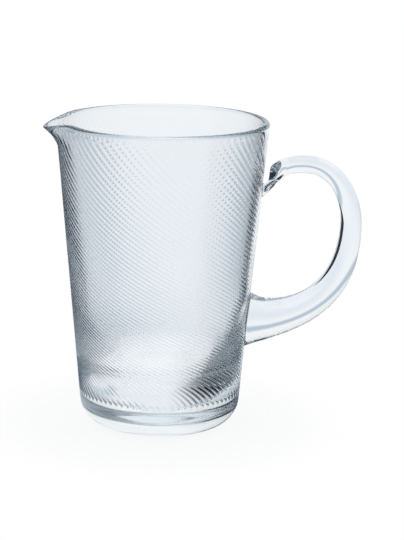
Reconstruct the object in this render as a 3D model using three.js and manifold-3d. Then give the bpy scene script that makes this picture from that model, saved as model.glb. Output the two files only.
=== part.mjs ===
// A mouth-blown glass pitcher, made of two pieces of glass.
// The body is one blown bubble: a straight wall that widens upwards, a heavy rounded base, a bowl-shaped
// inside, a fire-polished rim and a pouring lip that was pulled out of the rim while it was soft.
// The handle is a second gather: stuck low on the wall, drawn out, looped over, pressed on higher up and
// sheared off there.
// Millimetres, +Z up. The origin is the middle of the flat underside.
// The handle points along +X and the pouring lip along -X.
import * as THREE from "three";
import { mergeVertices } from "three/addons/utils/BufferGeometryUtils.js";
import Module from "manifold-3d";

// Body, outside
const HEIGHT = 204.4; // underside to rim
const RIM_RADIUS = 70; // wall at the rim
const FOOT_RADIUS = 51.8; // wall carried straight down to the underside
const BASE_CORNER = 18; // rounded edge between the wall and the underside

// Body, inside
const RIM_GLASS = 4.2; // thickness of the wall at the rim
const BOWL_GLASS = 5; // thickness of the wall at the top of the bowl
const FLOOR_GLASS = 13; // thickness under the middle of the bowl
const BOWL_DEPTH = 80; // from the straight inside down to the bowl's lowest point

// Pouring lip
const LIP_REACH = 9.2; // how far the tip stands out past the round rim
const LIP_DROP = 4.5; // how far the tip lies below the round rim
const LIP_DEPTH = 18; // how far down the wall the pull begins
const LIP_HALF_WIDTH = 25; // along the rim, from the tip to where the tongue crosses the round rim
const LIP_SWEEP = 1.5; // power of the underside's curve: 1 is straight, more is hollow

// Seats of the handle on the wall
const UPPER_SEAT_DROP = 43; // rim to where the centre line meets the wall at the upper seat
const LOWER_SEAT_RISE = 70; // underside to the middle of the lower seat
const SEAT_GAP = 0.3; // between the wall and the handle's ends
const WELD_RISE = 1.4; // the upper end is pressed on up to this height above the centre line
const SHEAR_GAP = 3.8; // between the wall and the sheared face that stands off it above the weld

// Centre line of the handle, from the upper seat over the crest and round the grip to the lower seat
const CREST_OUT = 27.2; // crest, out from the wall at the upper seat
const CREST_RISE = 14; // crest, up from the upper seat
const GRIP_OUT = 59.7; // outermost point of the grip, out from the wall at the upper seat
const GRIP_DROP = 39; // outermost point of the grip, down from the crest
const UPPER_SLOPE = 49; // degrees above level at which the centre line leaves the upper seat
const UPPER_PULL = 18; // how far that slope carries
const CREST_PULL = 7; // how far the crest runs level towards the upper seat
const SHOULDER_PULL = 23.5; // how far the crest runs level towards the grip
const GRIP_PULL_UP = 15; // how far the grip runs upright above its outermost point
const GRIP_PULL_DOWN = 53; // how far it runs upright below
const LOWER_PULL = 31; // how far the centre line runs level out of the lower seat

// Section of the handle: thickness in its own plane and width across it
const ROD_THICKNESS_UPPER = 11.3;
const ROD_THICKNESS_LOWER = 25;
const UPPER_SEAT_THICKNESS = 11.4;
const LOWER_SEAT_THICKNESS = 36.5;
const ROD_WIDTH_UPPER = 13.5;
const ROD_WIDTH_LOWER = 23;
const UPPER_SEAT_WIDTH = 13;
const LOWER_SEAT_WIDTH = 29;
const UPPER_EASE = 12; // length over which the rod swells to its upper seat
const LOWER_EASE = 14; // length over which the rod flares to its lower seat

// Facets
const ROUND_STEPS = 80; // round the body
const CORNER_STEPS = 7;
const LIP_STEPS = 6;
const RIM_STEPS = 6;
const BOWL_STEPS = 12;
const ROD_SIDES = 24;
const ROD_STEPS = 54;

const ACROSS = new THREE.Vector3(0, 1, 0);
const GLASS = { color: "#e9eff3", roughness: 0.03, metalness: 0, transparent: true, opacity: 0.45 };

const wasm = await Module();
wasm.setup();

// How far each end of the handle runs on inside the wall before it is cut off there
const UPPER_RUN_IN = UPPER_SEAT_WIDTH;
const LOWER_RUN_IN = LOWER_SEAT_WIDTH / 2;

const wallSlope = (RIM_RADIUS - FOOT_RADIUS) / HEIGHT;
const wallAngle = Math.atan(wallSlope);
const wallRadius = (z) => FOOT_RADIUS + wallSlope * z;

// A solid turned round the upright axis from an outline of radius and height.
function turned(outline) {
  return new THREE.LatheGeometry(outline, ROUND_STEPS).rotateX(Math.PI / 2);
}

// Points along a straight stretch, without its first point.
function straight(from, to, steps) {
  return Array.from({ length: steps }, (_, i) => from.clone().lerp(to, (i + 1) / steps));
}

// Points along a curve, without its first point.
function round(curve, steps) {
  return curve.getPoints(steps).slice(1);
}

// Outline of the body: out along the underside, up the outside, over the rim, down the inside to the axis.
function bodyOutline() {
  const lipFoot = HEIGHT - LIP_DEPTH;
  const bowlTop = FLOOR_GLASS + BOWL_DEPTH;
  const glassStep = (RIM_GLASS - BOWL_GLASS) / (HEIGHT - bowlTop);
  const innerRadius = (z) => wallRadius(z) - BOWL_GLASS - glassStep * (z - bowlTop);
  const rimRound = RIM_GLASS / 2;
  const rimFoot = HEIGHT - rimRound;

  const cornerCentre = wallRadius(BASE_CORNER) - BASE_CORNER / Math.cos(wallAngle);
  const corner = new THREE.EllipseCurve(
    cornerCentre, BASE_CORNER, BASE_CORNER, BASE_CORNER, -Math.PI / 2, -wallAngle,
  );
  const rim = new THREE.EllipseCurve(wallRadius(rimFoot) - rimRound, rimFoot, rimRound, rimRound, 0, Math.PI);
  const bowl = new THREE.EllipseCurve(0, bowlTop, innerRadius(bowlTop), BOWL_DEPTH, 0, -Math.PI / 2, true);

  const outerLip = new THREE.Vector2(wallRadius(lipFoot), lipFoot);
  const outerRim = new THREE.Vector2(wallRadius(rimFoot), rimFoot);
  const innerRim = new THREE.Vector2(wallRadius(rimFoot) - RIM_GLASS, rimFoot);
  const innerLip = new THREE.Vector2(innerRadius(lipFoot), lipFoot);
  const innerFoot = new THREE.Vector2(innerRadius(bowlTop), bowlTop);
  return [
    new THREE.Vector2(0, 0),
    new THREE.Vector2(cornerCentre, 0),
    ...round(corner, CORNER_STEPS),
    outerLip,
    ...straight(outerLip, outerRim, LIP_STEPS),
    ...round(rim, RIM_STEPS),
    ...straight(innerRim, innerLip, LIP_STEPS),
    innerFoot,
    ...round(bowl, BOWL_STEPS).slice(0, -1),
    new THREE.Vector2(0, FLOOR_GLASS),
  ];
}

// Pulls the tongue of the pouring lip out of the rim at -X. The same pull draws the rim in on either side.
function pullLip(geometry) {
  const position = geometry.attributes.position;
  const sideAngle = LIP_HALF_WIDTH / RIM_RADIUS;
  for (let i = 0; i < position.count; i += 1) {
    const x = position.getX(i);
    const y = position.getY(i);
    const z = position.getZ(i);
    const rise = (z - (HEIGHT - LIP_DEPTH)) / LIP_DEPTH;
    if (rise > 0) {
      const side = (Math.atan2(y, -x) / sideAngle) ** 2;
      const pull = rise ** LIP_SWEEP * (1 - side) * Math.exp(-side);
      const stretch = 1 + (LIP_REACH * pull) / Math.hypot(x, y);
      position.setXYZ(i, x * stretch, y * stretch, z - LIP_DROP * pull);
    }
  }
  return geometry;
}

// Centre line of the handle, in the plane of the axis. Each end runs on into the wall, to be cut off there.
function handlePath() {
  const at = (x, z) => new THREE.Vector3(x, 0, z);
  const upperZ = HEIGHT - UPPER_SEAT_DROP;
  const wallX = wallRadius(upperZ);
  const crestZ = upperZ + CREST_RISE;
  const gripZ = crestZ - GRIP_DROP;
  const crestX = wallX + CREST_OUT;
  const gripX = wallX + GRIP_OUT;
  const slope = THREE.MathUtils.degToRad(UPPER_SLOPE);
  const leave = at(Math.cos(slope), Math.sin(slope));
  const lowerX = wallRadius(LOWER_SEAT_RISE);

  const upper = at(wallX, upperZ);
  const upperInside = upper.clone().addScaledVector(leave, -UPPER_RUN_IN);
  const crest = at(crestX, crestZ);
  const grip = at(gripX, gripZ);
  const lower = at(lowerX, LOWER_SEAT_RISE);
  const lowerInside = at(lowerX - LOWER_RUN_IN, LOWER_SEAT_RISE);

  const path = new THREE.CurvePath();
  path.add(new THREE.LineCurve3(upperInside, upper));
  path.add(new THREE.CubicBezierCurve3(
    upper,
    upper.clone().addScaledVector(leave, UPPER_PULL),
    at(crestX - CREST_PULL, crestZ),
    crest,
  ));
  path.add(new THREE.CubicBezierCurve3(
    crest,
    at(crestX + SHOULDER_PULL, crestZ),
    at(gripX, gripZ + GRIP_PULL_UP),
    grip,
  ));
  path.add(new THREE.CubicBezierCurve3(
    grip,
    at(gripX, gripZ - GRIP_PULL_DOWN),
    at(lowerX + LOWER_PULL, LOWER_SEAT_RISE),
    lower,
  ));
  path.add(new THREE.LineCurve3(lower, lowerInside));
  return path;
}

// A size of the rod at a distance from its upper seat: it thickens on the way down and eases into each seat.
function rodSize(fromUpper, toLower, upper, lower, upperSeat, lowerSeat) {
  const down = Math.max(fromUpper, 0) / (fromUpper + toLower);
  const upperEnd = (upperSeat - upper) * Math.exp(-Math.max(fromUpper, 0) / UPPER_EASE);
  const lowerEnd = (lowerSeat - lower) * Math.exp(-Math.max(toLower, 0) / LOWER_EASE);
  return upper + (lower - upper) * down ** 2 + upperEnd + lowerEnd;
}

// The handle before its ends are cut: a round bar bent along the centre line.
function drawnRod() {
  const path = handlePath();
  const length = path.getLength();
  const geometry = new THREE.CylinderGeometry(1, 1, 1, ROD_SIDES, ROD_STEPS);
  const position = geometry.attributes.position;
  for (let i = 0; i < position.count; i += 1) {
    const share = position.getY(i) + 0.5;
    const fromUpper = share * length - UPPER_RUN_IN;
    const toLower = (1 - share) * length - LOWER_RUN_IN;
    const thickness = rodSize(
      fromUpper, toLower,
      ROD_THICKNESS_UPPER, ROD_THICKNESS_LOWER, UPPER_SEAT_THICKNESS, LOWER_SEAT_THICKNESS,
    );
    const width = rodSize(
      fromUpper, toLower, ROD_WIDTH_UPPER, ROD_WIDTH_LOWER, UPPER_SEAT_WIDTH, LOWER_SEAT_WIDTH,
    );
    const outwards = path.getTangent(share).cross(ACROSS);
    const point = path.getPoint(share);
    point.addScaledVector(outwards, (position.getX(i) * thickness) / 2);
    point.addScaledVector(ACROSS, (position.getZ(i) * width) / 2);
    position.setXYZ(i, point.x, point.y, point.z);
  }
  return geometry;
}

// The space that the wall takes up from a level to the rim, with a gap around it.
function wallSpace(fromZ, gap) {
  const off = gap / Math.cos(wallAngle);
  return turned([
    new THREE.Vector2(0, fromZ),
    new THREE.Vector2(wallRadius(fromZ) + off, fromZ),
    new THREE.Vector2(wallRadius(HEIGHT) + off, HEIGHT),
    new THREE.Vector2(0, HEIGHT),
  ]);
}

// The handle: cut to the wall at its seats, and sheared off above the upper one.
function drawnHandle() {
  const weldTop = HEIGHT - UPPER_SEAT_DROP + WELD_RISE;
  const seats = solid(wallSpace(0, SEAT_GAP));
  const sheared = solid(wallSpace(weldTop, SHEAR_GAP));
  return solid(drawnRod()).subtract(seats).subtract(sheared);
}

// A closed geometry as a solid that can be cut.
function solid(geometry) {
  geometry.deleteAttribute("normal");
  geometry.deleteAttribute("uv");
  const merged = mergeVertices(geometry, 1e-4);
  const mesh = new wasm.Mesh({
    numProp: 3,
    vertProperties: new Float32Array(merged.attributes.position.array),
    triVerts: new Uint32Array(merged.index.array),
  });
  mesh.merge();
  return new wasm.Manifold(mesh);
}

// A solid as a geometry again.
function geometryOf(shape) {
  const mesh = shape.getMesh();
  const geometry = new THREE.BufferGeometry();
  geometry.setAttribute("position", new THREE.BufferAttribute(new Float32Array(mesh.vertProperties), 3));
  geometry.setIndex(new THREE.BufferAttribute(new Uint32Array(mesh.triVerts), 1));
  geometry.computeVertexNormals();
  return geometry;
}

function piece(name, geometry) {
  const mesh = new THREE.Mesh(geometry, new THREE.MeshStandardMaterial(GLASS));
  mesh.name = name;
  return mesh;
}

const pitcher = new THREE.Group();
pitcher.add(piece("blown_body", geometryOf(solid(pullLip(turned(bodyOutline()))))));
pitcher.add(piece("drawn_handle", geometryOf(drawnHandle())));

export default pitcher;
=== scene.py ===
# %% [markdown]
# # A ribbed glass pitcher
#
# The pitcher is two pieces of clear glass. The body is one blown bubble with a thick base, fine ribs that
# twist round its wall, a smooth rim and a pouring lip. The handle is a solid rod that was stuck on hot.
# This lesson models both pieces, gives them their glass, and lights them so that clear glass can be seen.

import math

import bmesh
import bpy
from mathutils import Matrix, Vector
from mathutils.geometry import interpolate_bezier


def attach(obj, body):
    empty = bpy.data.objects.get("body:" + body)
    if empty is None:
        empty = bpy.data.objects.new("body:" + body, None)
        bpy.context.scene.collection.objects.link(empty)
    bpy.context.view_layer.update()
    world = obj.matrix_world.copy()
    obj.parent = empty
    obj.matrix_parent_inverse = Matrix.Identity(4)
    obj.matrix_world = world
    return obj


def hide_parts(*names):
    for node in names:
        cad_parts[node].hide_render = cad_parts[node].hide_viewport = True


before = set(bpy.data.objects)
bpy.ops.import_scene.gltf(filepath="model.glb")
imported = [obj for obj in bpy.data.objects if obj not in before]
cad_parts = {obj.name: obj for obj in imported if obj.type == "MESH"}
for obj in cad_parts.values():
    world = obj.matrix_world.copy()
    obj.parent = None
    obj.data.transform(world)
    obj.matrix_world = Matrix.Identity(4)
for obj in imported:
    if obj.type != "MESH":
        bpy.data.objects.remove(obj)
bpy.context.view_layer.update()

# %% [markdown]
# ## Sizes
#
# Every size is written in millimetres, as a glassmaker would say it, and becomes metres where a point is
# made. The body's sizes are the ones its solid has, so that the two fit each other. The height and the
# reach of the lip could be read off the solid's box, but the wall and the bowl inside can't, so all are
# named here.

# %% Sizes of the body
MM = 0.001

HEIGHT = 204.4
RIM_RADIUS = 70
FOOT_RADIUS = 51.8
BASE_CORNER = 18
RIM_GLASS = 4.2
BOWL_GLASS = 5
FLOOR_GLASS = 13
BOWL_DEPTH = 80

BOWL_TOP = FLOOR_GLASS + BOWL_DEPTH
WALL_SLOPE = (RIM_RADIUS - FOOT_RADIUS) / HEIGHT
WALL_ANGLE = math.atan(WALL_SLOPE)


def wall_radius(z):
    return FOOT_RADIUS + WALL_SLOPE * z


def inner_radius(z):
    glass = BOWL_GLASS + (RIM_GLASS - BOWL_GLASS) * (z - BOWL_TOP) / (HEIGHT - BOWL_TOP)
    return wall_radius(z) - glass


def smooth_step(value, low, high):
    share = min(max((value - low) / (high - low), 0), 1)
    return share * share * (3 - 2 * share)


print("wall at the foot and the rim:", wall_radius(0), wall_radius(HEIGHT))

# %% [markdown]
# ## The outline of the body
#
# Seen in section, the body is one closed line from the axis and back to it: out along the flat underside,
# round the lower edge, up the wall, over the rim, down the inside and round the bowl. A blown vessel is
# round, so that line is drawn once and spun. The wall gets many levels, because the ribs will twist along
# it, and they lie closer together where the ribs begin and end. The inside has no ribs, but its levels
# lie close under the rim, where the lip will be pulled: one long face there would bend the light all down
# the wall.

# %% Draw the outline
RIM_SMOOTH = 4.5
RIB_FOOT = 23.8
RIB_HEAD = HEIGHT - RIM_SMOOTH
RIB_TIP = 1.4
RIB_FADE = 4
FOOT_STEP = 2
TIP_STEP = 0.45
WALL_STEP = 2.5
HEAD_STEP = 0.9
LIP_STEP = 2
LIP_LEVELS = 24
INSIDE_STEP = 12
CORNER_STEPS = 14
RIM_STEPS = 10
BOWL_STEPS = 18


def levels(low, high, step):
    count = max(round(abs(high - low) / step), 1)
    return [low + (high - low) * i / count for i in range(count)]


def arc(radius_centre, z_centre, radius, height, start, end, steps):
    turns = [math.radians(start + (end - start) * i / steps) for i in range(steps + 1)]
    return [(radius_centre + radius * math.cos(t), z_centre + height * math.sin(t)) for t in turns]


def body_outline():
    corner_centre = wall_radius(BASE_CORNER) - BASE_CORNER / math.cos(WALL_ANGLE)
    corner_end = -math.degrees(WALL_ANGLE)
    corner = arc(corner_centre, BASE_CORNER, BASE_CORNER, BASE_CORNER, -90, corner_end, CORNER_STEPS)
    rim_round = RIM_GLASS / 2
    rim_foot = HEIGHT - rim_round
    tips_end = RIB_FOOT + 2 * RIB_TIP
    ribbed = levels(corner[-1][1], RIB_FOOT, FOOT_STEP) + levels(RIB_FOOT, tips_end, TIP_STEP)
    ribbed += levels(tips_end, RIB_HEAD, WALL_STEP) + levels(RIB_HEAD, rim_foot, HEAD_STEP)
    wall = [(wall_radius(z), z) for z in ribbed[1:]]
    rim = arc(wall_radius(rim_foot) - rim_round, rim_foot, rim_round, rim_round, 0, 180, RIM_STEPS)
    smooth = levels(rim_foot, HEIGHT - LIP_LEVELS, LIP_STEP)[1:]
    smooth += levels(HEIGHT - LIP_LEVELS, BOWL_TOP, INSIDE_STEP)
    inside = [(inner_radius(z), z) for z in smooth]
    bowl = arc(0, BOWL_TOP, inner_radius(BOWL_TOP), BOWL_DEPTH, 0, -90, BOWL_STEPS)[:-1]
    return [(0, 0)] + corner + wall + rim + inside + bowl + [(0, FLOOR_GLASS)]


outline = body_outline()
print("outline points:", len(outline))

# %% [markdown]
# ## Spin the body
#
# Spin turns the outline about the upright axis, as the blowpipe turns the bubble. Eight steps go to each
# rib, enough for a smooth groove. Spin looks through the whole mesh at every step, so it makes a
# twentieth of the turn, and turned copies of that close the round. Merging doubles then closes the seams
# and the two poles on the axis.

# %% Spin it
RIBS = 80
STEPS_PER_RIB = 8
SECTORS = 20
SEAM_MERGE = 1e-6


def spun_body():
    bm = bmesh.new()
    points = [bm.verts.new((r * MM, 0, z * MM)) for r, z in outline]
    for pair in zip(points, points[1:]):
        bm.edges.new(pair)
    share = math.tau / SECTORS
    bmesh.ops.spin(
        bm, geom=bm.verts[:] + bm.edges[:], cent=(0, 0, 0), axis=(0, 0, 1), angle=share,
        steps=RIBS * STEPS_PER_RIB // SECTORS,
    )
    sector = bm.verts[:] + bm.edges[:] + bm.faces[:]
    for i in range(1, SECTORS):
        copy = bmesh.ops.duplicate(bm, geom=sector)["geom"]
        verts = [g for g in copy if isinstance(g, bmesh.types.BMVert)]
        bmesh.ops.rotate(bm, verts=verts, cent=(0, 0, 0), matrix=Matrix.Rotation(i * share, 3, "Z"))
    bmesh.ops.remove_doubles(bm, verts=bm.verts[:], dist=SEAM_MERGE)
    bmesh.ops.recalc_face_normals(bm, faces=bm.faces[:])
    return bm


body_mesh = spun_body()
print("body faces:", len(body_mesh.faces), "open edges:", sum(e.is_boundary for e in body_mesh.edges))

# %% [markdown]
# ## Ribs
#
# The hot bubble was pushed into a grooved mould, which left upright ribs, and was then twisted. It twists
# most in the soft middle, and less in the thick base and near the cool pipe. So each level of the wall is
# turned by the twist below it, and the grooves are sunk into it. The groove is a cosine wave that starts
# in round tips above the smooth base and fades out under the smooth rim. It is deepest low down. Above
# that the glass was blown wider and thinner, which stretched the grooves almost flat. A bump map could
# draw the ribs, but real ones bend the light and show in the edge, so they are modelled.

# %% Twist the wall and sink the grooves
RIB_DEPTH_FOOT = 0.45
RIB_DEPTH_HEAD = 0.12
RIB_STRETCH = 35
TWIST_PEAK = 2.07
TWIST_TOP = 0.57
TWIST_PEAK_Z = 52
TWIST_STILL_Z = 6
TWIST_FALL = 1.15
TWIST_PARTS = 500
UNDERSIDE_Z = FLOOR_GLASS - 1


def twist_rate(z):
    rise = smooth_step(z, TWIST_STILL_Z, TWIST_PEAK_Z)
    fall = max((z - TWIST_PEAK_Z) / (HEIGHT - TWIST_PEAK_Z), 0) ** TWIST_FALL
    return rise * (TWIST_PEAK + (TWIST_TOP - TWIST_PEAK) * fall)


wall_levels = [RIB_FOOT + i * (RIB_HEAD - RIB_FOOT) / TWIST_PARTS for i in range(TWIST_PARTS + 1)]
wall_twist = [0.0]
for low, high in zip(wall_levels, wall_levels[1:]):
    wall_twist.append(wall_twist[-1] + twist_rate((low + high) / 2) * (high - low))


def twist_at(z):
    place = (z - RIB_FOOT) / (RIB_HEAD - RIB_FOOT) * TWIST_PARTS
    index = min(max(int(place), 0), TWIST_PARTS - 1)
    share = min(max(place - index, 0), 1)
    return wall_twist[index] + (wall_twist[index + 1] - wall_twist[index]) * share


def groove_depth(turn, z):
    wave = (1 - math.cos(RIBS * turn)) / 2
    begin = smooth_step(z, RIB_FOOT, RIB_FOOT + RIB_TIP)
    end = 1 - smooth_step(z, RIB_HEAD - RIB_FADE, RIB_HEAD)
    unstretched = math.exp(-(z - RIB_FOOT) / RIB_STRETCH)
    depth = RIB_DEPTH_HEAD + (RIB_DEPTH_FOOT - RIB_DEPTH_HEAD) * unstretched
    return depth * wave * begin * end


for vert in body_mesh.verts:
    x, y, z = (c / MM for c in vert.co)
    radius = math.hypot(x, y)
    turn = math.atan2(y, x)
    outside = radius > wall_radius(z) - RIM_GLASS / 2 or z < UNDERSIDE_Z
    twist = math.radians(twist_at(z)) if outside else math.radians(wall_twist[-1])
    if outside:
        radius -= groove_depth(turn, z)
    turn -= twist
    vert.co = Vector((radius * math.cos(turn), radius * math.sin(turn), z)) * MM
print("twist of the ribs in degrees:", round(wall_twist[-1], 1))

# %% [markdown]
# ## The pouring lip
#
# While the rim was soft, a tool pulled a tongue out of it and drew the rim in on either side. One formula
# does both: it is highest at the tip, crosses zero where the tongue meets the round rim, and dips a
# little beyond.

# %% Pull the lip
LIP_REACH = 9.2
LIP_DROP = 4.5
LIP_DEPTH = 18
LIP_HALF_WIDTH = 25
LIP_SWEEP = 1.5


def lip_pull(x, y, z):
    rise = max((z - (HEIGHT - LIP_DEPTH)) / LIP_DEPTH, 0)
    side = (math.atan2(y, -x) * RIM_RADIUS / LIP_HALF_WIDTH) ** 2
    return rise**LIP_SWEEP * (1 - side) * math.exp(-side)


for vert in body_mesh.verts:
    x, y, z = (c / MM for c in vert.co)
    if z > HEIGHT - LIP_DEPTH:
        pull = lip_pull(x, y, z)
        stretch = 1 + LIP_REACH * pull / math.hypot(x, y)
        vert.co = Vector((x * stretch, y * stretch, z - LIP_DROP * pull)) * MM


def finished(name, bm, node):
    mesh = bpy.data.meshes.new(name)
    bm.to_mesh(mesh)
    bm.free()
    for polygon in mesh.polygons:
        polygon.use_smooth = True
    piece = bpy.data.objects.new(name, mesh)
    bpy.context.scene.collection.objects.link(piece)
    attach(piece, "root")
    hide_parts(node)
    print(name, "faces:", len(mesh.polygons))
    return piece


body = finished("ribbed_body", body_mesh, "blown_body")

# %% [markdown]
# ## The handle
#
# The handle began as a gather of hot glass stuck low on the wall. It was drawn out, looped over, pressed
# on higher up and sheared off. So it is a solid rod that thickens downwards and flares into its lower
# seat. A curve with a bevel would give one thickness, so rings are laid along a centre line instead.
# First comes that line.

# %% Draw the centre line
UPPER_SEAT_DROP = 43
LOWER_SEAT_RISE = 70
SEAT_GAP = 0.3
CREST_OUT = 27.2
CREST_RISE = 14
GRIP_OUT = 59.7
GRIP_DROP = 39
UPPER_SLOPE = math.radians(49)
UPPER_PULL = 18
CREST_PULL = 7
SHOULDER_PULL = 23.5
GRIP_PULL_UP = 15
GRIP_PULL_DOWN = 53
LOWER_PULL = 31
BEND_STEPS = 60

UPPER_Z = HEIGHT - UPPER_SEAT_DROP
CREST_Z = UPPER_Z + CREST_RISE
GRIP_Z = CREST_Z - GRIP_DROP
UPPER_X = wall_radius(UPPER_Z)
LOWER_X = wall_radius(LOWER_SEAT_RISE) + SEAT_GAP
CREST_X = UPPER_X + CREST_OUT
GRIP_X = UPPER_X + GRIP_OUT


def in_plane(x, z):
    return Vector((x, 0, z))


def handle_line(steps):
    upper = in_plane(UPPER_X, UPPER_Z)
    leave = in_plane(math.cos(UPPER_SLOPE), math.sin(UPPER_SLOPE)) * UPPER_PULL
    crest = in_plane(CREST_X, CREST_Z)
    grip = in_plane(GRIP_X, GRIP_Z)
    lower = in_plane(LOWER_X, LOWER_SEAT_RISE)
    bends = [
        (upper, upper + leave, crest - in_plane(CREST_PULL, 0), crest),
        (crest, crest + in_plane(SHOULDER_PULL, 0), grip + in_plane(0, GRIP_PULL_UP), grip),
        (grip, grip - in_plane(0, GRIP_PULL_DOWN), lower + in_plane(LOWER_PULL, 0), lower),
    ]
    points = [interpolate_bezier(*bend, steps) for bend in bends]
    return points[0][:-1] + points[1][:-1] + points[2]


line = handle_line(BEND_STEPS)
run = [0.0]
for a, b in zip(line, line[1:]):
    run.append(run[-1] + (b - a).length)
print("length of the handle in mm:", round(run[-1], 1))

# %% [markdown]
# Each ring of the rod is told by its outer point, its inner point and its width. Along the rod the two
# points stand square to the centre line. The thickness and the width follow one rule: they grow with the
# square of the way down and ease into the size of the lower seat, where the rings turn until they lie
# flat on the wall. The upper end is told ring by ring, as distances off the wall and heights: a foot that
# is pressed on, and above it a blunt end that stands clear of the wall.

# %% Lay the rings
THICKNESS = {"upper": 11.3, "lower": 25, "seat": 36.5}
WIDTH = {"upper": 13.5, "lower": 23, "seat": 29}
LOWER_EASE = 14
SEAT_TURN = 12
ROD_START = 17
UPPER_END = [
    ((0.3, 162.5), (0.3, 152.9), 11.0),
    ((2.3, 162.6), (1.7, 154.2), 11.6),
    ((3.5, 163.4), (3.2, 155.7), 12.2),
    ((3.8, 166.0), (4.9, 157.5), 12.8),
    ((3.9, 169.5), (6.6, 159.4), 13.2),
    ((4.1, 172.6), (8.6, 161.7), 13.5),
    ((5.1, 174.6), (10.9, 163.8), 13.5),
    ((7.4, 176.5), (13.4, 165.6), 13.5),
]
END_STEPS = 5


def rod_size(size, from_upper, to_lower):
    down = from_upper / (from_upper + to_lower)
    seat = (size["seat"] - size["lower"]) * math.exp(-to_lower / LOWER_EASE)
    return size["upper"] + (size["lower"] - size["upper"]) * down**2 + seat


def rod_ring(index):
    ahead = line[min(index + 1, len(line) - 1)]
    behind = line[max(index - 1, 0)]
    square = (ahead - behind).normalized().cross(Vector((0, 1, 0)))
    to_lower = run[-1] - run[index]
    wall_down = -in_plane(math.sin(WALL_ANGLE), math.cos(WALL_ANGLE))
    near_wall = 1 - smooth_step(to_lower, 0, SEAT_TURN)
    across = square.lerp(wall_down, near_wall).normalized()
    half = across * rod_size(THICKNESS, run[index], to_lower) / 2 / across.dot(square)
    return line[index] + half, line[index] - half, rod_size(WIDTH, run[index], to_lower)


def smooth_between(before, low, high, after, share):
    rise = (high - before) / 2
    fall = (after - low) / 2
    bend = 3 * (high - low) - 2 * rise - fall
    turn = rise + fall - 2 * (high - low)
    return low + rise * share + bend * share**2 + turn * share**3


def end_rings(after):
    rings = []
    for outer, inner, width in UPPER_END:
        places = [in_plane(wall_radius(z) + off, z) for off, z in (outer, inner)]
        rings.append((*places, width))
    rings = [rings[0]] + rings + [after]
    fine = []
    for four in zip(rings, rings[1:], rings[2:], rings[3:]):
        for step in range(END_STEPS):
            fine.append(tuple(smooth_between(*values, step / END_STEPS) for values in zip(*four)))
    return fine + [rings[-2]]


along_rod = [rod_ring(i) for i in range(len(line)) if run[i] > ROD_START]
rings = end_rings(along_rod[0]) + along_rod
print("rings:", len(rings))

# %% [markdown]
# The rod is one circle, extruded from ring to ring. Each end is closed with rings that shrink to a point,
# and the points next to the wall are then slid along until they follow its round face, a hair off the
# glass.

# %% Extrude the rod and seat its ends
ROD_SIDES = 96
SEAT_RINGS = 6
SEAT_REACH = 7
TIP_MERGE = 1e-7


def ring_matrix(ring):
    outer, inner, width = ring
    across = (outer - inner) / 2
    out = across.cross(Vector((0, 1, 0))).normalized()
    axes = Matrix((across, Vector((0, width / 2, 0)), out)).transposed().to_4x4()
    return Matrix.Scale(MM, 4) @ Matrix.Translation((outer + inner) / 2) @ axes


def extruded(bm, edges):
    made = bmesh.ops.extrude_edge_only(bm, edges=edges)["geom"]
    verts = [g for g in made if isinstance(g, bmesh.types.BMVert)]
    return verts, [g for g in made if isinstance(g, bmesh.types.BMEdge)]


def close_end(bm, edges):
    for left in range(SEAT_RINGS, 0, -1):
        verts, edges = extruded(bm, edges)
        middle = sum((v.co for v in verts), Vector()) / len(verts)
        shrink = (left - 1) / left
        bmesh.ops.scale(bm, vec=(shrink, shrink, shrink), verts=verts, space=Matrix.Translation(-middle))
    bmesh.ops.remove_doubles(bm, verts=verts, dist=TIP_MERGE)


def drawn_rod():
    bm = bmesh.new()
    verts = bmesh.ops.create_circle(bm, segments=ROD_SIDES, radius=1)["verts"]
    bmesh.ops.transform(bm, matrix=ring_matrix(rings[0]), verts=verts)
    first = edges = bm.edges[:]
    for low, high in zip(rings, rings[1:]):
        verts, edges = extruded(bm, edges)
        bmesh.ops.transform(bm, matrix=ring_matrix(high) @ ring_matrix(low).inverted(), verts=verts)
    close_end(bm, first)
    close_end(bm, edges)
    bmesh.ops.recalc_face_normals(bm, faces=bm.faces[:])
    return bm


rod = drawn_rod()
for vert in rod.verts:
    x, y, z = (c / MM for c in vert.co)
    wall = wall_radius(z)
    round_off = wall - math.sqrt(wall * wall - min(y * y, wall * wall))
    seat = 1 - smooth_step(x - wall, SEAT_GAP, SEAT_REACH)
    vert.co.x = (x - round_off * seat) * MM
print("rod faces:", len(rod.faces))

# %% [markdown]
# ## The sheared end
#
# Shears pinch a hot rod from both sides before they part it. They left the blunt end as a chisel: two
# slanting facets that meet near the middle and run out along the top of the foot. They are what turns
# dark in the light.

# %% Pinch the sheared end
CHISEL_OFF = 3.8
CHISEL_HALF = 0.9
CHISEL_SLOPE = 0.59
FACET_FOOT = in_plane(69.6, 163.6)
FACET_TIP = in_plane(80.2, 168.8)
FACET_RELEASE = 2.2
SHEARED_ABOVE_Z = 150
SHEARED_OUT = 20

facet_line = (FACET_TIP - FACET_FOOT).normalized()
pinched = 0
for vert in rod.verts:
    x, y, z = (c / MM for c in vert.co)
    off = x - wall_radius(z)
    if z < SHEARED_ABOVE_Z or off > SHEARED_OUT:
        continue
    place = in_plane(x, z) - FACET_FOOT
    below = facet_line.z * place.x - facet_line.x * place.z
    facet = CHISEL_HALF + CHISEL_SLOPE * max(off - CHISEL_OFF, 0)
    limit = max(facet, CHISEL_HALF + FACET_RELEASE * max(below, 0))
    if abs(y) > limit:
        vert.co.y = math.copysign(limit, y) * MM
        pinched += 1
print("points pinched:", pinched)
handle = finished("drawn_handle_glass", rod, "drawn_handle")

# %% [markdown]
# ## Glass
#
# Both pieces are soda-lime glass, the common glass of bottles and tableware. It bends light with an index
# of about 1.52, and a trace of iron takes a little red out of light that goes a long way through it, so
# thick parts look faintly cool. A blown surface is glossy but never quite flat: slow waves of a
# centimetre or so move what is seen through it. The foot that slides on tables is a little scuffed.

# %% Glass


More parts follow.
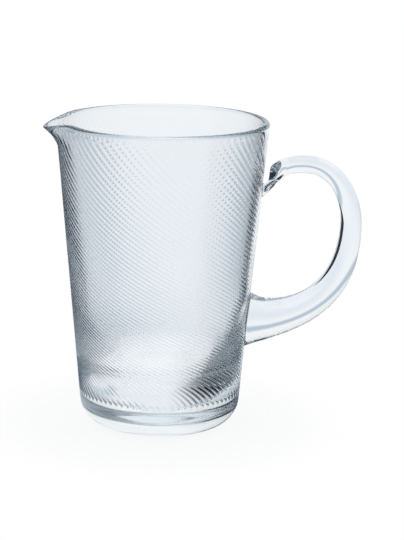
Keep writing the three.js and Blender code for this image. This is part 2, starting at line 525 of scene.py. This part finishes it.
def linear(hex_code):
    channels = [int(hex_code[i:i + 2], 16) / 255 for i in (1, 3, 5)]
    return [c / 12.92 if c <= 0.04045 else ((c + 0.055) / 1.055) ** 2.4 for c in channels] + [1.0]


def add(tree, kind, inputs=None, **settings):
    node = tree.nodes.new(kind)
    for name, value in settings.items():
        setattr(node, name, value)
    for name, value in (inputs or {}).items():
        if isinstance(value, bpy.types.NodeSocket):
            tree.links.new(value, node.inputs[name])
        else:
            node.inputs[name].default_value = value
    return node


def new_material(name):
    material = bpy.data.materials.new(name)
    material.use_nodes = True
    material.node_tree.nodes.clear()
    return material, material.node_tree


WAVE_MM = 16
WAVE_HEIGHT_MM = 0.02
SCUFF_MM = 1.2
SCUFF_ROUGHNESS = 0.25
SODA_LIME_IOR = 1.52
IRON_TINT = "#95bccb"
IRON_DENSITY = 1.5


def soda_lime_glass(name, scuffed_foot):
    material, tree = new_material(name)
    place = add(tree, "ShaderNodeTexCoord").outputs["Object"]
    wave = add(tree, "ShaderNodeTexNoise", {"Vector": place, "Scale": 1 / (WAVE_MM * MM), "Detail": 1.0})
    bump = add(
        tree, "ShaderNodeBump",
        {"Height": wave.outputs["Fac"], "Distance": WAVE_HEIGHT_MM * MM, "Strength": 1.0},
    )
    glass = add(
        tree, "ShaderNodeBsdfPrincipled",
        {
            "Base Color": linear("#ffffff"), "Roughness": 0.0, "IOR": SODA_LIME_IOR,
            "Transmission Weight": 1.0, "Normal": bump.outputs["Normal"],
        },
    )
    if scuffed_foot:
        height = add(tree, "ShaderNodeSeparateXYZ", {"Vector": place}).outputs["Z"]
        scuff = add(
            tree, "ShaderNodeMapRange",
            {
                "Value": height, "From Min": 0.0, "From Max": SCUFF_MM * MM,
                "To Min": SCUFF_ROUGHNESS, "To Max": 0.0,
            },
        )
        tree.links.new(scuff.outputs["Result"], glass.inputs["Roughness"])
    absorb = add(tree, "ShaderNodeVolumeAbsorption", {"Color": linear(IRON_TINT), "Density": IRON_DENSITY})
    add(
        tree, "ShaderNodeOutputMaterial",
        {"Surface": glass.outputs["BSDF"], "Volume": absorb.outputs["Volume"]},
    )
    return material


body.data.materials.append(soda_lime_glass("soda_lime_ribbed", True))
handle.data.materials.append(soda_lime_glass("soda_lime_drawn", False))
print("materials:", [m.name for m in bpy.data.materials])

# %% [markdown]
# ## Floor
#
# The pitcher stands on matt white paper that fades into the white round about, so that a faint shadow
# stays under the foot. Glass shows the paper twice: straight through its walls, and by light that was
# turned back inside the thick base first. For that turned light only, the paper is painted a little
# greyer, and painted dark blue-grey on its right side. This is painted shade where a glass photographer
# would lay a black card, and it gives the base a dark curve. What is seen straight through stays white.

# %% Floor
FLOOR_RADIUS = 0.15
FLOOR_SIDES = 96
FADE_FROM = 0.06
FADE_FULL = 0.1425
SHEET = "#4a4c4e"
SHEET_GLOW = 0.9
PAPER = "#fafdff"
# Painted tones seen only by light turned back in the glass: a greyer paper, and a painted dark card shade
PAPER_TURNED = "#eef3f7"
PAINTED_CARD_SHADE = "#1a2733"
PAINTED_CARD_SHADE_FROM = 0.008
PAINTED_CARD_SHADE_FULL = 0.045


def eased(tree, value, low, high):
    return add(
        tree, "ShaderNodeMapRange", {"Value": value, "From Min": low, "From Max": high},
        interpolation_type="SMOOTHSTEP",
    ).outputs["Result"]


def mixed(tree, share, low, high):
    return add(tree, "ShaderNodeMix", {0: share, 6: low, 7: high}, data_type="RGBA").outputs[2]


def turned_back(tree, path):
    # Glossy Depth counts how often the light was reflected, and stays at 0 for light that only passed through
    depth = path.outputs["Glossy Depth"]
    return add(tree, "ShaderNodeMath", {0: depth, 1: 0.5}, operation="GREATER_THAN").outputs[0]


def white_paper():
    material, tree = new_material("matt_white_paper")
    place = add(tree, "ShaderNodeTexCoord").outputs["Object"]
    path = add(tree, "ShaderNodeLightPath")
    sheet = add(tree, "ShaderNodeBsdfDiffuse", {"Color": linear(SHEET)}).outputs["BSDF"]
    white = {"Color": linear("#ffffff"), "Strength": SHEET_GLOW}
    glow = add(tree, "ShaderNodeEmission", white).outputs[0]
    plain = add(tree, "ShaderNodeAddShader", {0: sheet, 1: glow}).outputs[0]
    across = add(tree, "ShaderNodeSeparateXYZ", {"Vector": place}).outputs["X"]
    # Painted shade: turned light sees the right side of the paper dark blue-grey, where no card lies
    card = mixed(tree, eased(tree, across, PAINTED_CARD_SHADE_FROM, PAINTED_CARD_SHADE_FULL), linear(PAPER_TURNED), linear(PAINTED_CARD_SHADE))
    tone = mixed(tree, turned_back(tree, path), linear(PAPER), card)
    through = add(tree, "ShaderNodeEmission", {"Color": tone, "Strength": 1.0}).outputs[0]
    rays = {0: path.outputs["Is Glossy Ray"], 1: path.outputs["Is Transmission Ray"]}
    by_glass = add(tree, "ShaderNodeMath", rays, operation="ADD").outputs[0]
    seen = add(tree, "ShaderNodeMixShader", {"Fac": by_glass, 1: plain, 2: through}).outputs[0]
    far = add(tree, "ShaderNodeVectorMath", {0: place}, operation="LENGTH").outputs["Value"]
    fade = eased(tree, far, FADE_FROM, FADE_FULL)
    clear = add(tree, "ShaderNodeBsdfTransparent").outputs[0]
    paper = add(tree, "ShaderNodeMixShader", {"Fac": fade, 1: seen, 2: clear}).outputs[0]
    add(tree, "ShaderNodeOutputMaterial", {"Surface": paper})
    return material


def stage_piece(name, bm, material):
    mesh = bpy.data.meshes.new(name)
    bm.to_mesh(mesh)
    bm.free()
    mesh.materials.append(material)
    piece = bpy.data.objects.new(name, mesh)
    bpy.context.scene.collection.objects.link(piece)
    return piece


disc = bmesh.new()
bmesh.ops.create_circle(disc, cap_ends=True, segments=FLOOR_SIDES, radius=FLOOR_RADIUS)
print("stage:", stage_piece("floor", disc, white_paper()).name)

# %% [markdown]
# ## Studio light
#
# Clear glass shows only by what it bends into view. A photographer puts a bright field behind it, which
# makes the middle clear, and keeps the rest of the room dark, which draws the edges. A few panels do that
# for one camera, but the pitcher has to read from every side. So the two are told apart by the way the
# light took. Light that came straight through meets a pale field all round. Where it went through both
# walls, that field is a row of white panels with grey gaps: the middle stays white, and the ribs, which
# bend the light a few degrees, draw their lines from the gaps. Where it went through one piece of glass,
# as in the handle, the field has a grey horizon that shades the rod. Light that was turned back inside
# the glass meets a dark blue-grey room: black beside the pitcher, grey at the sides and the front, with a
# tall window behind it and a white ceiling. The camera itself sees plain white.

# %% Tones of the room
FIELD_LOW = "#e8f0f8"
FIELD_HIGH = "#fcfeff"
GROUND = "#f2f7fb"
HORIZON = "#bccbd8"
GAP = "#bfcdd9"
FRONT = "#a8b8c6"
SIDE = "#5f7182"
DARK = "#172c3d"
WINDOW = "#f4f9fd"
VIEW_TURN = math.radians(4)
PANELS = 16
GAP_FROM = 0.15
GAP_FULL = 0.45

# How far up a way points, from -1 straight down to 1 straight up: where each tone starts and is full
FIELD_RISE = (-0.45, -0.02)
GROUND_FALL = (-0.3, -0.6)
HORIZON_RISE = (-0.12, -0.02)
HORIZON_END = (0.15, 0.03)
ROOM_RISE = (-0.1, 0.1)
CEILING_RISE = (0.45, 0.7)
ZENITH_RISE = (0.8, 0.92)

# Degrees to the right of the way the camera looks
LOW_ROOM = [
    (-180, FRONT), (-130, FRONT), (-120, SIDE), (-68, SIDE), (-60, DARK), (-6, DARK), (2, WINDOW),
    (28, WINDOW), (32, DARK), (42, DARK), (50, SIDE), (120, SIDE), (130, FRONT), (180, FRONT),
]
HIGH_ROOM = [(-180, DARK), (-35, DARK), (-20, WINDOW), (40, WINDOW), (55, DARK), (180, DARK)]
CEILING = [
    (-180, WINDOW), (-130, WINDOW), (-120, DARK), (-60, DARK), (-50, WINDOW), (85, WINDOW), (95, DARK),
    (170, DARK), (180, WINDOW),
]
print("panels:", PANELS, "tones round the dark room:", len(LOW_ROOM), len(HIGH_ROOM), len(CEILING))

# %% Room round the pitcher
TWO_FACES = 2.4
MORE_FACES = 2.6


def round_the_room(tree, share, stops):
    ramp = add(tree, "ShaderNodeValToRGB", {"Fac": share})
    elements = ramp.color_ramp.elements
    while len(elements) < len(stops):
        elements.new(1.0)
    for element, (degrees, colour) in zip(elements, stops):
        element.position = (degrees + 180) / 360
        element.color = linear(colour)
    return ramp.outputs["Color"]


def share_of_turn(tree, way):
    turn = add(tree, "ShaderNodeMath", {0: way["X"], 1: way["Y"]}, operation="ARCTAN2").outputs[0]
    from_back = add(tree, "ShaderNodeMath", {0: turn, 1: math.pi - VIEW_TURN}, operation="ADD").outputs[0]
    whole = add(tree, "ShaderNodeMath", {0: from_back, 1: math.tau, 2: 0.0}, operation="WRAP").outputs[0]
    return add(tree, "ShaderNodeMath", {0: whole, 1: math.tau}, operation="DIVIDE").outputs[0]


def product(tree, a, b):
    return add(tree, "ShaderNodeMath", {0: a, 1: b}, operation="MULTIPLY").outputs[0]


def bright_field(tree, path, share, height):
    # Transmission Depth counts the faces that the light went through: two walls have four
    faces = path.outputs["Transmission Depth"]
    both_walls = eased(tree, faces, TWO_FACES, MORE_FACES)
    one_piece = eased(tree, faces, MORE_FACES, TWO_FACES)
    row = {0: product(tree, share, PANELS), 1: 0.5}
    off_middle = add(tree, "ShaderNodeMath", row, operation="PINGPONG").outputs[0]
    gaps = eased(tree, off_middle, GAP_FROM, GAP_FULL)
    field = mixed(tree, eased(tree, height, *FIELD_RISE), linear(FIELD_LOW), linear(FIELD_HIGH))
    field = mixed(tree, eased(tree, height, *GROUND_FALL), field, linear(GROUND))
    horizon = product(tree, eased(tree, height, *HORIZON_RISE), eased(tree, height, *HORIZON_END))
    field = mixed(tree, product(tree, horizon, one_piece), field, linear(HORIZON))
    return mixed(tree, product(tree, gaps, both_walls), field, linear(GAP))


def dark_room(tree, share, height):
    low = round_the_room(tree, share, LOW_ROOM)
    high = round_the_room(tree, share, HIGH_ROOM)
    room = mixed(tree, eased(tree, height, *ROOM_RISE), low, high)
    room = mixed(tree, eased(tree, height, *CEILING_RISE), room, round_the_room(tree, share, CEILING))
    return mixed(tree, eased(tree, height, *ZENITH_RISE), room, linear(WINDOW))


def studio_world():
    world = bpy.data.worlds.new("studio")
    bpy.context.scene.world = world
    world.use_nodes = True
    tree = world.node_tree
    tree.nodes.clear()
    facing = add(tree, "ShaderNodeTexCoord").outputs["Generated"]
    way = add(tree, "ShaderNodeSeparateXYZ", {"Vector": facing}).outputs
    share = share_of_turn(tree, way)
    path = add(tree, "ShaderNodeLightPath")
    field = bright_field(tree, path, share, way["Z"])
    room = dark_room(tree, share, way["Z"])
    colour = mixed(tree, turned_back(tree, path), field, room)
    around = add(tree, "ShaderNodeBackground", {"Color": colour, "Strength": 1.0}).outputs[0]
    white = add(tree, "ShaderNodeBackground", {"Color": linear("#ffffff"), "Strength": 1.0}).outputs[0]
    by_camera = {"Fac": path.outputs["Is Camera Ray"], 1: around, 2: white}
    seen = add(tree, "ShaderNodeMixShader", by_camera).outputs[0]
    add(tree, "ShaderNodeOutputWorld", {"Surface": seen})
    return world


print("world:", studio_world().name)

# %% [markdown]
# The handle is solid and turns little light back, so its dark marks need black cards of their own. One
# stands close behind it on the right, just out of what the body shows, and draws the line along its
# inside. It is cut off at a slant so that the line tapers. The other lies over the sheared end, which
# turns its light upwards.

# %% Cards for the handle
INSIDE_CARD = [(200, 100, -60), (300, 100, -60), (300, 100, 150), (255, 100, 150), (200, 100, 105)]
SHEARED_END_CARD = [(72, -60, 225), (125, -60, 225), (125, 60, 225), (72, 60, 225)]
CARD_BLACK = "#161d24"


def matt_black():
    material, tree = new_material("matt_black_card")
    black = add(tree, "ShaderNodeEmission", {"Color": linear(CARD_BLACK), "Strength": 1.0}).outputs[0]
    add(tree, "ShaderNodeOutputMaterial", {"Surface": black})
    return material


def black_card(name, corners, material):
    bm = bmesh.new()
    bm.faces.new([bm.verts.new(Vector(corner) * MM) for corner in corners])
    card = stage_piece(name, bm, material)
    card.visible_camera = False
    card.visible_diffuse = False
    card.visible_shadow = False
    return card


card_black = matt_black()
for name, corners in (("inside_card", INSIDE_CARD), ("sheared_end_card", SHEARED_END_CARD)):
    print("stage:", black_card(name, corners, card_black).name)

# %% [markdown]
# ## Camera
#
# The camera stands well back with a long lens, a little above the rim, and looks slightly down. The lip
# turns a few degrees towards it.

# %% Camera
CAMERA_AT = Vector((-63.05, -1291.55, 411.5)) * MM
LOOK_AT = Vector((27.09, -1.89, 104.01)) * MM
LENS_MM = 133.55
SENSOR_MM = 36
CAMERA_ROLL = math.radians(1.03)


def photo_camera():
    data = bpy.data.cameras.new("camera")
    data.sensor_width = SENSOR_MM
    data.lens = LENS_MM
    camera = bpy.data.objects.new("camera", data)
    bpy.context.scene.collection.objects.link(camera)
    aim = (LOOK_AT - CAMERA_AT).to_track_quat("-Z", "Y").to_matrix().to_4x4()
    camera.matrix_world = Matrix.Translation(CAMERA_AT) @ aim @ Matrix.Rotation(CAMERA_ROLL, 4, "Z")
    bpy.context.scene.camera = camera


# Light crosses many faces in ribbed glass before it leaves
BOUNCES = 64

photo_camera()
scene = bpy.context.scene
scene.view_settings.view_transform = "Standard"
scene.cycles.max_bounces = BOUNCES
scene.cycles.transmission_bounces = BOUNCES
scene.cycles.glossy_bounces = BOUNCES
print("camera lens in mm:", LENS_MM)
